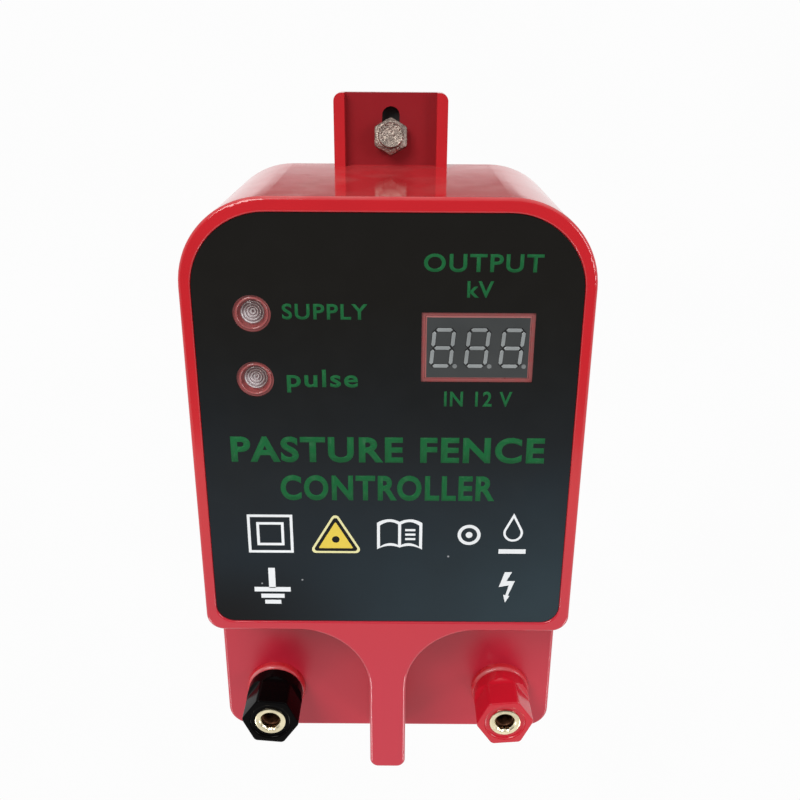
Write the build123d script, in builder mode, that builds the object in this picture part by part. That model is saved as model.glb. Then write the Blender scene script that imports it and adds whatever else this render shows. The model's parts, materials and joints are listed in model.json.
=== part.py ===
"""Wall-hung electric fence energizer.

A moulded case with a printed front panel, two indicator lamps, a three-digit voltage display, two screw-down
output terminals, a hanging tab with its screw, and the pulse electronics that the case holds.
"""

import os

from build123d import *

os.makedirs("parts", exist_ok=True)

# Millimetres. X runs across, Z up, and Y front to back with the front at -Y. The origin is on the wall plane,
# in the hanging slot. A "depth" is a distance forward of the wall, so depth d is at y = -d.

# Case
CASE_WIDTH = 88.4
CASE_HEIGHT = 148.2
CASE_DEPTH = 55.0
CASE_TOP = -8.3
CASE_BOTTOM = CASE_TOP - CASE_HEIGHT
CASE_MIDDLE = (CASE_TOP + CASE_BOTTOM) / 2
TOP_RADIUS = 19.0
BOTTOM_RADIUS = 6.0
PANEL_LOWER_RADIUS = 4.2
WALL = 2.5
LIP = 0.2  # the front rim stands this far proud of the sides
RIM_DEPTH = 4.0
RIM_ROUND = 0.9
COVER_THICKNESS = 3.0
FIT_GAP = 0.15

# Front block, the deep upper part of the case, and the barrier rib below it
BLOCK_BOTTOM = CASE_BOTTOM + 43.0
PLATFORM_DEPTH = CASE_DEPTH - 15.5
PLATFORM_ROUND = 0.8
RIB_WIDTH = 9.1
RIB_FILLET = 17.5
RIB_TIP_RADIUS = 2.2

# Front panel
RIM_TOP_WIDTH = 3.1
RIM_SIDE_WIDTH = 2.6  # and along the bottom
RECESS_LOWER_RADIUS = 4.4
RIM_INNER_ROUND = 0.4
PANEL_RECESS = 0.8
FRONT_WALL = 3.0
LABEL_THICKNESS = 0.5
LABEL_MIDDLE = (CASE_TOP + BLOCK_BOTTOM) / 2
PANEL_FLOOR = CASE_DEPTH - PANEL_RECESS
FRONT_INNER = CASE_DEPTH - FRONT_WALL
LAMP_X = -29.0
LAMP_HEIGHTS = {"power_led": CASE_BOTTOM + 123.5, "pulse_led": CASE_BOTTOM + 108.6}
LAMP_HOLE_RADIUS = 2.6
LAMP_SINK_RADIUS = 3.3  # a shallow sink round each lamp hole
LAMP_SINK_DEPTH = 1.0
LAMP_SINK_CHAMFER = 0.25
LAMP_LABEL_RADIUS = 4.1
LAMP_RADIUS = 2.5
LAMP_FLANGE_RADIUS = 2.9
DISPLAY_X = 19.4
DISPLAY_Z = CASE_BOTTOM + 116.1
DISPLAY_WIDTH = 22.5
DISPLAY_HEIGHT = 14.0
DISPLAY_CHAMFER = 0.3
WINDOW_GAP = 0.15
WINDOW_FRAME = 0.9  # how much of the case shows round the display

# Hanging tab and its screw
TAB_WIDTH = 28.3
TAB_TOP = 9.2
TAB_RADIUS = 2.0
TAB_BACK = 1.2  # the tab stands this far clear of the wall
WEB_FRONT = 4.0
TAB_RIB_WIDTH = 2.7
TAB_RIB_FRONT = 6.5
SLOT_WIDTH = 4.4
SLOT_TOP = 5.9
SLOT_BOTTOM = -4.0
SCREW_Z = -1.1  # the screw lies near the slot's lower end
SCREW_RADIUS = 2.0
SCREW_HEAD_FLATS = 8.0
SCREW_HEAD_HEIGHT = 3.8
SCREW_REACH = 16.0  # shank behind the wall plane, point included
SCREW_POINT = 4.0
SCREW_WASHER_RADIUS = 7.0
SCREW_WASHER_THICKNESS = 1.0

# Terminals. A "stand" is a distance forward of the platform.
TERMINAL_X = 30.4
TERMINAL_Z = CASE_BOTTOM + 13.6
TERMINAL_HOLE_RADIUS = 4.25
STUD_RADIUS = 3.0
SOCKET_RADIUS = 2.0
SOCKET_DEPTH = 14.0
STUD_TIP = 12.4
COLLAR_RADIUS = 7.8
COLLAR_HEIGHT = 2.1
CLAMP_RADIUS = 5.0
CAP_RADIUS = 7.35
CAP_FLATS = 13.0
CAP_BACK = 2.2
CAP_SHOULDER = 6.3
CAP_FRONT = 14.2
CAP_REAR_BORE = 5.2
CAP_DISH_RADIUS = 5.0
CAP_DISH_DEPTH = 0.6
EARTH_CAP_TURN = -5.5  # how far each cap has stopped from having its flats level, in degrees
FENCE_CAP_TURN = 5.0
INSERT_RADIUS = 4.0
INSERT_BACK = 3.05
INSERT_FRONT = 14.0
INSERT_LIP_RADIUS = 2.4
INSERT_LIP = 1.3
THREAD_GAP = 0.05

# Fasteners inside
BOSS_RADIUS = 3.75
COVER_PILOT_RADIUS = 1.5
COVER_PILOT_DEPTH = 16.0
COVER_SCREW_SPOTS = [(34.0, -18.3), (-34.0, -18.3), (19.5, -150.0), (-19.5, -150.0)]
COVER_BOSS_TOP = 5.0
BOARD_BOSS_RADIUS = 3.0
BOARD_PILOT_RADIUS = 1.25
BOARD_PILOT_DEPTH = 6.5
BOARD_SCREW_SPOTS = [(35.0, -40.0), (-35.0, -40.0), (35.0, -102.0), (-35.0, -102.0)]

# Circuit board
BOARD_FRONT = CASE_DEPTH - 10.1
BOARD_THICKNESS = 1.6
BOARD_BACK = BOARD_FRONT - BOARD_THICKNESS
BOARD_WIDTH = 77.0
BOARD_TOP = -26.0
BOARD_BOTTOM = -108.5

# Power inlet in the bottom wall
JACK_DEPTH = 18.0
JACK_FLANGE_RADIUS = 7.1
JACK_RADIUS = 5.5
JACK_FLANGE_HEIGHT = 1.6
JACK_PAD = 2.5
JACK_PAD_RADIUS = 9.5
JACK_LUG_SPACING = 6.0
JACK_BORE_RADIUS = 3.15
JACK_BORE_DEPTH = 9.5
JACK_TOP = 17.0
CASE_FLOOR = CASE_BOTTOM + LIP
JACK_SEAT = CASE_FLOOR + JACK_FLANGE_HEIGHT
JACK_NUT_SEAT = JACK_SEAT + JACK_PAD

LEAD_RADIUS = 1.0


def wall_plane(depth):
    """A plane parallel to the wall, its local X and Y being the frame's X and Z, facing the front."""
    return Plane.XZ.offset(depth)


def level_plane(height):
    """A level plane, its local X and Y being the frame's X and Y."""
    return Plane.XY.offset(height)


def case_outline(inset):
    """The case's full-height outline, shrunk all round."""
    with BuildSketch() as outline:
        with Locations((0, CASE_MIDDLE)):
            Rectangle(CASE_WIDTH - 2 * inset, CASE_HEIGHT - 2 * inset)
        fillet(outline.vertices().group_by(Axis.Y)[-1], TOP_RADIUS - inset)
        fillet(outline.vertices().group_by(Axis.Y)[0], BOTTOM_RADIUS - inset)
    return outline.sketch


def panel_outline(inset):
    """The front block's outline without the rib, shrunk all round."""
    with BuildSketch() as outline:
        with Locations((0, LABEL_MIDDLE)):
            Rectangle(CASE_WIDTH - 2 * inset, CASE_TOP - BLOCK_BOTTOM - 2 * inset)
        fillet(outline.vertices().group_by(Axis.Y)[-1], TOP_RADIUS - inset)
        fillet(outline.vertices().group_by(Axis.Y)[0], max(PANEL_LOWER_RADIUS - inset, 1))
    return outline.sketch


def recess_outline(gap):
    """The outline of the label's recess, shrunk all round by a gap."""
    top = CASE_TOP - RIM_TOP_WIDTH - gap
    bottom = BLOCK_BOTTOM + RIM_SIDE_WIDTH + gap
    with BuildSketch() as outline:
        with Locations((0, (top + bottom) / 2)):
            Rectangle(CASE_WIDTH - 2 * (RIM_SIDE_WIDTH + gap), top - bottom)
        fillet(outline.vertices().group_by(Axis.Y)[-1], TOP_RADIUS - RIM_SIDE_WIDTH - gap)
        fillet(outline.vertices().group_by(Axis.Y)[0], RECESS_LOWER_RADIUS - gap)
    return outline.sketch


def block_outline(inset, panel):
    """The front block's outline with the rib that runs down from it, blended in by two large fillets."""
    rib_bottom = CASE_BOTTOM + inset
    rib_top = LABEL_MIDDLE
    with BuildSketch() as outline:
        add(panel)
        with Locations((0, (rib_bottom + rib_top) / 2)):
            Rectangle(RIB_WIDTH - 2 * inset, rib_top - rib_bottom)
        corners = outline.vertices().filter_by(
            lambda v: abs(v.Y - BLOCK_BOTTOM - inset) < 0.01 and abs(v.X) < RIB_WIDTH
        )
        fillet(corners, RIB_FILLET + inset)
        tip_radius = max(RIB_TIP_RADIUS - inset, 0.3)
        fillet(outline.vertices().group_by(Axis.Y)[0], tip_radius)
    return outline.sketch


def add_disc(x, z, radius, back, front, mode=Mode.ADD):
    """A round bar along the depth, in the part being built."""
    with BuildSketch(wall_plane(back)) as section:
        with Locations((x, z)):
            Circle(radius)
    extrude(section.sketch, amount=front - back, mode=mode)


def add_block(x, z, width, height, back, front, mode=Mode.ADD):
    """A box along the depth, in the part being built."""
    with BuildSketch(wall_plane(back)) as section:
        with Locations((x, z)):
            Rectangle(width, height)
    extrude(section.sketch, amount=front - back, mode=mode)


def add_upright(x, depth, radius, bottom, top, mode=Mode.ADD):
    """A round bar along Z, in the part being built."""
    with BuildSketch(level_plane(bottom)) as section:
        with Locations((x, -depth)):
            Circle(radius)
    extrude(section.sketch, amount=top - bottom, mode=mode)


def finish(builder, name):
    """Labels a finished piece and writes it."""
    builder.part.label = name
    export_step(builder.part, f"parts/{name}.step")


case_outer = case_outline(LIP)
case_inner = case_outline(LIP + WALL)
rim_outer = block_outline(0, panel_outline(0))
block_outer = block_outline(LIP, panel_outline(LIP))
block_inner = block_outline(LIP + WALL, panel_outline(LIP + WALL))
panel_recess = recess_outline(0)
label_outline = recess_outline(FIT_GAP)

# ---------------------------------------------------------------- case

with BuildPart() as front_housing:
    with BuildSketch(wall_plane(COVER_THICKNESS)):
        add(case_outer)
    extrude(amount=PLATFORM_DEPTH - COVER_THICKNESS)
    platform_face = front_housing.faces().sort_by(Axis.Y)[0]
    fillet(platform_face.outer_wire().edges(), PLATFORM_ROUND)
    with BuildSketch(wall_plane(PLATFORM_DEPTH - 2 * PLATFORM_ROUND)):
        add(block_outer)
    extrude(amount=CASE_DEPTH - RIM_DEPTH - PLATFORM_DEPTH + 2 * PLATFORM_ROUND)
    with BuildSketch(wall_plane(CASE_DEPTH - RIM_DEPTH)):
        add(rim_outer)
    extrude(amount=RIM_DEPTH)
    rim_face = front_housing.faces().sort_by(Axis.Y)[0]
    fillet(rim_face.outer_wire().edges(), RIM_ROUND)
    # Hollow: the full-height part as far as the platform wall, then the front block and its rib
    with BuildSketch(wall_plane(COVER_THICKNESS)):
        add(case_inner)
    extrude(amount=PLATFORM_DEPTH - WALL - COVER_THICKNESS, mode=Mode.SUBTRACT)
    with BuildSketch(wall_plane(PLATFORM_DEPTH - WALL)):
        add(block_inner)
    extrude(amount=FRONT_INNER - PLATFORM_DEPTH + WALL, mode=Mode.SUBTRACT)
    # Front panel: the label's recess, two sunk lamp holes and the display's window
    with BuildSketch(wall_plane(PANEL_FLOOR)):
        add(panel_recess)
    extrude(amount=PANEL_RECESS, mode=Mode.SUBTRACT)
    rim_face = front_housing.faces().sort_by(Axis.Y)[0]
    fillet(rim_face.inner_wires().edges(), RIM_INNER_ROUND)
    for lamp_z in LAMP_HEIGHTS.values():
        add_disc(LAMP_X, lamp_z, LAMP_HOLE_RADIUS, FRONT_INNER, PANEL_FLOOR, Mode.SUBTRACT)
        add_disc(LAMP_X, lamp_z, LAMP_SINK_RADIUS, PANEL_FLOOR - LAMP_SINK_DEPTH, PANEL_FLOOR, Mode.SUBTRACT)
    add_block(
        DISPLAY_X,
        DISPLAY_Z,
        DISPLAY_WIDTH + 2 * WINDOW_GAP,
        DISPLAY_HEIGHT + 2 * WINDOW_GAP,
        FRONT_INNER,
        PANEL_FLOOR,
        Mode.SUBTRACT,
    )
    floor_face = front_housing.faces().filter_by(Axis.Y).filter_by(
        lambda f: abs(f.center().Y + PANEL_FLOOR) < 0.01
    )[0]
    chamfer(floor_face.inner_wires().edges().filter_by(GeomType.CIRCLE), LAMP_SINK_CHAMFER)
    # Cover screw bosses: the upper two stand on the front wall, the lower two on the platform wall
    for x, z in COVER_SCREW_SPOTS:
        boss_foot = FRONT_INNER if z > BLOCK_BOTTOM else PLATFORM_DEPTH - WALL
        add_disc(x, z, BOSS_RADIUS, COVER_BOSS_TOP, boss_foot)
        add_disc(x, z, COVER_PILOT_RADIUS, COVER_BOSS_TOP, COVER_BOSS_TOP + COVER_PILOT_DEPTH, Mode.SUBTRACT)
    for x, z in BOARD_SCREW_SPOTS:
        add_disc(x, z, BOARD_BOSS_RADIUS, BOARD_FRONT, FRONT_INNER)
        add_disc(x, z, BOARD_PILOT_RADIUS, BOARD_FRONT, BOARD_FRONT + BOARD_PILOT_DEPTH, Mode.SUBTRACT)
    # Terminal holes in the platform wall
    for side in (-1, 1):
        wall_back = PLATFORM_DEPTH - WALL
        add_disc(
            side * TERMINAL_X, TERMINAL_Z, TERMINAL_HOLE_RADIUS, wall_back, PLATFORM_DEPTH, Mode.SUBTRACT
        )
    # Power inlet: a pad inside, a recess for the flange outside and the barrel's hole
    add_upright(0, JACK_DEPTH, JACK_PAD_RADIUS, CASE_FLOOR + 1, JACK_NUT_SEAT)
    add_upright(0, JACK_DEPTH, JACK_FLANGE_RADIUS + FIT_GAP, CASE_FLOOR, JACK_SEAT, Mode.SUBTRACT)
    add_upright(0, JACK_DEPTH, JACK_RADIUS + 0.1, CASE_FLOOR, JACK_NUT_SEAT, Mode.SUBTRACT)
finish(front_housing, "front_housing")

COVER_LIP = 1.2
COVER_LIP_REACH = 4.6
GROOVE_INSET = 0.5
GROOVE_DEPTH = 0.8
COUNTERBORE_RADIUS = 3.0
COUNTERBORE_DEPTH = 2.0
lip_outer = case_outline(LIP + WALL + FIT_GAP)
lip_inner = case_outline(LIP + WALL + FIT_GAP + COVER_LIP)
groove_outer = case_outline(LIP + GROOVE_INSET)
groove_inner = case_outline(LIP + WALL - GROOVE_INSET)

with BuildPart() as rear_cover:
    with BuildSketch(wall_plane(0)):
        add(case_outer)
    extrude(amount=COVER_THICKNESS)
    chamfer(rear_cover.faces().sort_by(Axis.Y)[-1].outer_wire().edges(), 0.5)
    with BuildSketch(wall_plane(COVER_THICKNESS)):
        add(lip_outer)
        add(lip_inner, mode=Mode.SUBTRACT)
    extrude(amount=COVER_LIP_REACH - COVER_THICKNESS)
    # Hanging tab: a slotted web between two ribs, its upper corners rounded
    tab_bottom = CASE_TOP - LIP
    with BuildSketch(wall_plane(TAB_BACK)) as tab_sketch:
        with Locations((0, (TAB_TOP + tab_bottom) / 2)):
            Rectangle(TAB_WIDTH, TAB_TOP - tab_bottom)
        fillet(tab_sketch.vertices().group_by(Axis.Y)[-1], TAB_RADIUS)
    extrude(amount=TAB_RIB_FRONT - TAB_BACK)
    web_width = TAB_WIDTH - 2 * TAB_RIB_WIDTH
    web_height = 2 * (TAB_TOP - tab_bottom)
    add_block(0, TAB_TOP, web_width, web_height, WEB_FRONT, TAB_RIB_FRONT, Mode.SUBTRACT)
    with BuildSketch(wall_plane(TAB_BACK)):
        with Locations((0, (SLOT_TOP + SLOT_BOTTOM) / 2)):
            SlotOverall(SLOT_TOP - SLOT_BOTTOM, SLOT_WIDTH, rotation=90)
    extrude(amount=WEB_FRONT - TAB_BACK, mode=Mode.SUBTRACT)
    with BuildSketch(wall_plane(COVER_THICKNESS - GROOVE_DEPTH)):
        add(groove_outer)
        add(groove_inner, mode=Mode.SUBTRACT)
    extrude(amount=GROOVE_DEPTH, mode=Mode.SUBTRACT)
    for x, z in COVER_SCREW_SPOTS:
        add_disc(x, z, 2.9, COVER_THICKNESS, COVER_BOSS_TOP)
        add_disc(x, z, COUNTERBORE_RADIUS, 0, COUNTERBORE_DEPTH, Mode.SUBTRACT)
        add_disc(x, z, 1.7, COUNTERBORE_DEPTH, COVER_BOSS_TOP, Mode.SUBTRACT)
finish(rear_cover, "rear_cover")

with BuildPart() as cover_gasket:
    with BuildSketch(wall_plane(COVER_THICKNESS - GROOVE_DEPTH)):
        add(groove_outer)
        add(groove_inner, mode=Mode.SUBTRACT)
    extrude(amount=GROOVE_DEPTH)
finish(cover_gasket, "cover_gasket")


def pan_screws(spots, seat, head_radius, head_height, shank_radius, shank_length):
    """Pan-head screws driven towards the front from a seat, each with a cross recess."""
    with BuildPart() as screws:
        for x, z in spots:
            add_disc(x, z, head_radius, seat - head_height, seat)
            add_disc(x, z, shank_radius, seat, seat + shank_length)
        chamfer(screws.faces().sort_by(Axis.Y).group_by(Axis.Y)[-1].edges(), 0.4 * head_height)
        for x, z in spots:
            for width, height in ((0.9, 1.2 * head_radius), (1.2 * head_radius, 0.9)):
                add_block(x, z, width, height, seat - head_height, seat - 0.45 * head_height, Mode.SUBTRACT)
    return screws


cover_screws = pan_screws(COVER_SCREW_SPOTS, COUNTERBORE_DEPTH, 2.75, 1.7, 1.45, 15)
finish(cover_screws, "cover_screws")

with BuildPart() as front_label:
    with BuildSketch(wall_plane(PANEL_FLOOR)):
        add(label_outline)
        with Locations([(LAMP_X, lamp_z) for lamp_z in LAMP_HEIGHTS.values()]):
            Circle(LAMP_LABEL_RADIUS, mode=Mode.SUBTRACT)
        with Locations((DISPLAY_X, DISPLAY_Z)):
            Rectangle(
                DISPLAY_WIDTH + 2 * WINDOW_FRAME, DISPLAY_HEIGHT + 2 * WINDOW_FRAME, mode=Mode.SUBTRACT
            )
    extrude(amount=LABEL_THICKNESS)
finish(front_label, "front_label")

# ---------------------------------------------------------------- lamps and display

LAMP_TIP = PANEL_FLOOR - 0.1
LAMP_FOOT = LAMP_TIP - 8.6
for lamp_name, lamp_z in LAMP_HEIGHTS.items():
    with BuildPart() as lamp:
        add_disc(LAMP_X, lamp_z, LAMP_FLANGE_RADIUS, LAMP_FOOT, LAMP_FOOT + 1)
        add_disc(LAMP_X, lamp_z, LAMP_RADIUS, LAMP_FOOT + 1, LAMP_TIP)
        fillet(lamp.faces().sort_by(Axis.Y)[0].edges(), LAMP_RADIUS - 0.05)
        for lead_x in (-1.27, 1.27):
            add_block(LAMP_X + lead_x, lamp_z, 0.5, 0.5, BOARD_FRONT, LAMP_FOOT)
    finish(lamp, lamp_name)

DISPLAY_FACE = PANEL_FLOOR + 0.3
DISPLAY_BACK = DISPLAY_FACE - 7.4
with BuildPart() as display_module:
    add_block(DISPLAY_X, DISPLAY_Z, DISPLAY_WIDTH, DISPLAY_HEIGHT, DISPLAY_BACK, DISPLAY_FACE)
    fillet(display_module.edges().filter_by(Axis.Y), 0.3)
    chamfer(display_module.faces().sort_by(Axis.Y)[0].edges(), DISPLAY_CHAMFER)
finish(display_module, "display_module")

with BuildPart() as display_pins:
    with BuildSketch(wall_plane(BOARD_FRONT)):
        with Locations((DISPLAY_X, DISPLAY_Z)):
            with GridLocations(2.54, 10.16, 6, 2):
                Circle(0.25)
    extrude(amount=DISPLAY_BACK - BOARD_FRONT)
finish(display_pins, "display_pins")

# ---------------------------------------------------------------- output terminals

NUT_FLATS = 10.0
NUT_HEIGHT = 5.0
BUSH_HEIGHT = 1.5
WASHER_HEIGHT = 1.0
LUG_THICKNESS = 0.8
STUD_BACK = PLATFORM_DEPTH - 17.5
WALL_BACK = PLATFORM_DEPTH - WALL
BUSH_BACK = WALL_BACK - BUSH_HEIGHT
WASHER_BACK = BUSH_BACK - WASHER_HEIGHT
NUT_BACK = WASHER_BACK - NUT_HEIGHT
LUG_BACK = NUT_BACK - LUG_THICKNESS
LUG_MIDDLE = LUG_BACK + LUG_THICKNESS / 2
CLAMP_BACK = COLLAR_HEIGHT + 0.05
CLAMP_HEIGHT = 0.8
BARREL_BOTTOM = TERMINAL_Z + 8
BARREL_TOP = TERMINAL_Z + 15


def terminal(name, x, cap_turn):
    """One output terminal: a fixed stud and collar, a screw-down cap, and the fastening behind the wall."""
    z = TERMINAL_Z
    stand = PLATFORM_DEPTH

    with BuildPart() as stud:
        add_disc(x, z, STUD_RADIUS, STUD_BACK, stand + STUD_TIP)
        chamfer(stud.faces().sort_by(Axis.Y)[-1].edges(), 0.5)
        add_disc(x, z, SOCKET_RADIUS, stand + STUD_TIP - SOCKET_DEPTH, stand + STUD_TIP, Mode.SUBTRACT)
    finish(stud, f"{name}_stud")

    with BuildPart() as collar:
        add_disc(x, z, COLLAR_RADIUS, stand, stand + COLLAR_HEIGHT)
        chamfer(collar.faces().sort_by(Axis.Y)[0].edges(), 0.4)
        add_disc(x, z, TERMINAL_HOLE_RADIUS - 0.05, WALL_BACK, stand)
        add_disc(x, z, STUD_RADIUS + 0.1, WALL_BACK, stand + COLLAR_HEIGHT, Mode.SUBTRACT)
    finish(collar, f"{name}_collar")

    with BuildPart() as bush:
        add_disc(x, z, 6.5, BUSH_BACK, WALL_BACK)
        add_disc(x, z, STUD_RADIUS + 0.1, BUSH_BACK, WALL_BACK, Mode.SUBTRACT)
    finish(bush, f"{name}_inner_bush")

    with BuildPart() as washer:
        add_disc(x, z, 6.0, WASHER_BACK, BUSH_BACK)
        add_disc(x, z, STUD_RADIUS + 0.15, WASHER_BACK, BUSH_BACK, Mode.SUBTRACT)
    finish(washer, f"{name}_washer")

    with BuildPart() as nuts:
        for back in (NUT_BACK, LUG_BACK - NUT_HEIGHT):
            with BuildSketch(wall_plane(back)):
                with Locations((x, z)):
                    RegularPolygon(NUT_FLATS / 2, 6, major_radius=False)
                    Circle(STUD_RADIUS + 0.02, mode=Mode.SUBTRACT)
            extrude(amount=NUT_HEIGHT)
    finish(nuts, f"{name}_nuts")

    with BuildPart() as lug:
        with BuildSketch(wall_plane(LUG_BACK)):
            with Locations((x, z)):
                Circle(6.0)
            with Locations((x, z + 7)):
                Rectangle(4.0, 6.0)
            with Locations((x, z)):
                Circle(STUD_RADIUS + 0.15, mode=Mode.SUBTRACT)
        extrude(amount=LUG_THICKNESS)
        add_upright(x, LUG_MIDDLE, 2.0, BARREL_BOTTOM, BARREL_TOP)
        add_upright(x, LUG_MIDDLE, LEAD_RADIUS + 0.05, BARREL_BOTTOM + 1, BARREL_TOP, Mode.SUBTRACT)
    finish(lug, f"{name}_ring_terminal")

    clamp_back = stand + CLAMP_BACK
    with BuildPart() as clamp_washer:
        add_disc(x, z, CLAMP_RADIUS, clamp_back, clamp_back + CLAMP_HEIGHT)
        add_disc(x, z, STUD_RADIUS + 0.1, clamp_back, clamp_back + CLAMP_HEIGHT, Mode.SUBTRACT)
    finish(clamp_washer, f"{name}_clamp_washer")

    with BuildPart() as cap:
        add_disc(x, z, CAP_RADIUS, stand + CAP_BACK, stand + CAP_FRONT)
        chamfer(cap.edges().filter_by(GeomType.CIRCLE).sort_by(Axis.Y)[-1], 0.5)
        with BuildSketch(wall_plane(stand + CAP_SHOULDER)):
            with Locations((x, z)):
                Circle(2 * CAP_RADIUS)
                RegularPolygon(
                    CAP_FLATS / 2, 6, major_radius=False, rotation=cap_turn, mode=Mode.SUBTRACT
                )
        extrude(amount=CAP_FRONT - CAP_SHOULDER, mode=Mode.SUBTRACT)
        add_disc(x, z, CAP_REAR_BORE, stand + CAP_BACK, stand + INSERT_BACK, Mode.SUBTRACT)
        add_disc(x, z, INSERT_RADIUS, stand + INSERT_BACK, stand + CAP_FRONT, Mode.SUBTRACT)
        dish_floor = stand + CAP_FRONT - CAP_DISH_DEPTH
        add_disc(x, z, CAP_DISH_RADIUS, dish_floor, stand + CAP_FRONT, Mode.SUBTRACT)
    finish(cap, f"{name}_cap")

    with BuildPart() as insert:
        add_disc(x, z, INSERT_RADIUS, stand + INSERT_BACK, stand + INSERT_FRONT)
        bore_front = stand + INSERT_FRONT - INSERT_LIP
        add_disc(x, z, STUD_RADIUS + THREAD_GAP, stand + INSERT_BACK, bore_front, Mode.SUBTRACT)
        add_disc(x, z, INSERT_LIP_RADIUS, bore_front, stand + INSERT_FRONT, Mode.SUBTRACT)
    finish(insert, f"{name}_cap_insert")


terminal("earth", -TERMINAL_X, EARTH_CAP_TURN)
terminal("fence", TERMINAL_X, FENCE_CAP_TURN)

# ---------------------------------------------------------------- hanging screw

with BuildPart() as hanging_screw:
    head_back = WEB_FRONT + 0.1
    with BuildSketch(wall_plane(head_back)):
        with Locations((0, SCREW_Z)):
            RegularPolygon(SCREW_HEAD_FLATS / 2, 6, major_radius=False, rotation=30)
    extrude(amount=SCREW_HEAD_HEIGHT)
    shank_end = -(SCREW_REACH - SCREW_POINT)
    add_disc(0, SCREW_Z, SCREW_RADIUS, shank_end, head_back)
    with BuildSketch(wall_plane(shank_end)):
        with Locations((0, SCREW_Z)):
            Circle(SCREW_RADIUS)
    extrude(amount=-SCREW_POINT, taper=22)
finish(hanging_screw, "hanging_screw")

with BuildPart() as screw_washer:
    washer_back = 0.1
    washer_front = washer_back + SCREW_WASHER_THICKNESS
    add_disc(0, SCREW_Z, SCREW_WASHER_RADIUS, washer_back, washer_front)
    add_disc(0, SCREW_Z, SCREW_RADIUS + 0.05, washer_back, washer_front, Mode.SUBTRACT)
finish(screw_washer, "screw_washer")

# ---------------------------------------------------------------- circuit board and what it carries

with BuildPart() as main_board:
    with BuildSketch(wall_plane(BOARD_BACK)) as board_sketch:
        with Locations((0, (BOARD_TOP + BOARD_BOTTOM) / 2)):
            Rectangle(BOARD_WIDTH, BOARD_TOP - BOARD_BOTTOM)
        fillet(board_sketch.vertices(), 3)
        with Locations(BOARD_SCREW_SPOTS):
            Circle(1.4, mode=Mode.SUBTRACT)
    extrude(amount=BOARD_THICKNESS)
finish(main_board, "main_board")

board_screws = pan_screws(BOARD_SCREW_SPOTS, BOARD_BACK, 2.4, 1.6, 1.2, 7.5)
finish(board_screws, "board_screws")


def transformer(name, x, z, leg, window, window_height, stack, wrap):
    """A shell-type transformer on the board's back: laminated or ferrite core, bobbin and winding.

    The centre leg runs along the depth. The core's yokes are as thick as half the leg, and the winding
    stands out of the core by wrap above and below.
    """
    core_height = window_height + leg
    core_width = 2 * leg + 2 * window
    core_back = BOARD_BACK - 1 - core_height
    window_back = core_back + leg / 2
    with BuildPart() as core:
        with BuildSketch(level_plane(z - stack / 2)):
            with Locations((x, -(core_back + core_height / 2))):
                Rectangle(core_width, core_height)
                with GridLocations(leg + window, 0, 2, 1):
                    Rectangle(window, window_height, mode=Mode.SUBTRACT)
        extrude(amount=stack)
    finish(core, f"{name}_core")

    sleeve = 1.0
    flange = 1.2
    outer_width = leg + 2 * window - 0.4
    outer_height = stack + 2 * wrap
    with BuildPart() as bobbin:
        add_block(x, z, leg + 2 * sleeve, stack + 2 * sleeve, window_back, window_back + window_height)
        for back in (window_back, window_back + window_height - flange):
            add_block(x, z, outer_width, outer_height, back, back + flange)
        add_block(x, z, leg, stack, window_back, window_back + window_height, Mode.SUBTRACT)
        for side in (-1, 1):
            foot_z = z + side * (stack / 2 + wrap - 1)
            add_block(x, foot_z, outer_width, 2, window_back + window_height, BOARD_BACK)
    finish(bobbin, f"{name}_bobbin")

    with BuildPart() as winding:
        wound_back = window_back + flange
        wound_front = window_back + window_height - flange
        add_block(x, z, outer_width - 0.8, outer_height - 1.6, wound_back, wound_front)
        fillet(winding.edges().filter_by(Axis.Y), 2)
        add_block(x, z, leg + 2 * sleeve, stack + 2 * sleeve, wound_back, wound_front, Mode.SUBTRACT)
    finish(winding, f"{name}_winding")


transformer(
    "pulse_transformer", -20.0, -85.0, leg=11.0, window=6.5, window_height=18.0, stack=22.0, wrap=6.5
)
transformer(
    "charging_transformer", 25.0, -71.0, leg=7.0, window=5.0, window_height=12.5, stack=7.0, wrap=5.5
)

CAPACITOR_X = 22.5
CAPACITOR_Z = -91.0
CAPACITOR_HEIGHT = 28.0
LEAD_SPACING = 22.5
with BuildPart() as storage_capacitor:
    add_block(CAPACITOR_X, CAPACITOR_Z, 27.0, 16.0, BOARD_BACK - CAPACITOR_HEIGHT, BOARD_BACK - 0.5)
    fillet(storage_capacitor.edges().filter_by(Axis.Y), 1)
    for side in (-1, 1):
        add_disc(CAPACITOR_X + side * LEAD_SPACING / 2, CAPACITOR_Z, 0.4, BOARD_BACK - 0.5, BOARD_BACK)
finish(storage_capacitor, "storage_capacitor")

FILTER_SPOTS = [(-3.0, -34.0), (7.3, -34.0)]
FILTER_HEIGHT = 16.0
with BuildPart() as filter_capacitors:
    for x, z in FILTER_SPOTS:
        add_disc(x, z, 5.0, BOARD_BACK - FILTER_HEIGHT, BOARD_BACK)
    fillet(filter_capacitors.faces().sort_by(Axis.Y).group_by(Axis.Y)[-1].edges(), 0.6)
finish(filter_capacitors, "filter_capacitors")

SINK_X = -20.0
SINK_Z = -44.0
SINK_BASE = 2.5
SINK_BACK = BOARD_BACK - 24
DEVICE_TAB = 1.3
with BuildPart() as heat_sink:
    add_block(SINK_X, SINK_Z, 22, SINK_BASE, SINK_BACK, BOARD_BACK)
    for fin in range(-2, 3):
        add_block(SINK_X + 5 * fin, SINK_Z + 5, 1.4, 8, SINK_BACK, BOARD_BACK)
finish(heat_sink, "heat_sink")


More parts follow.
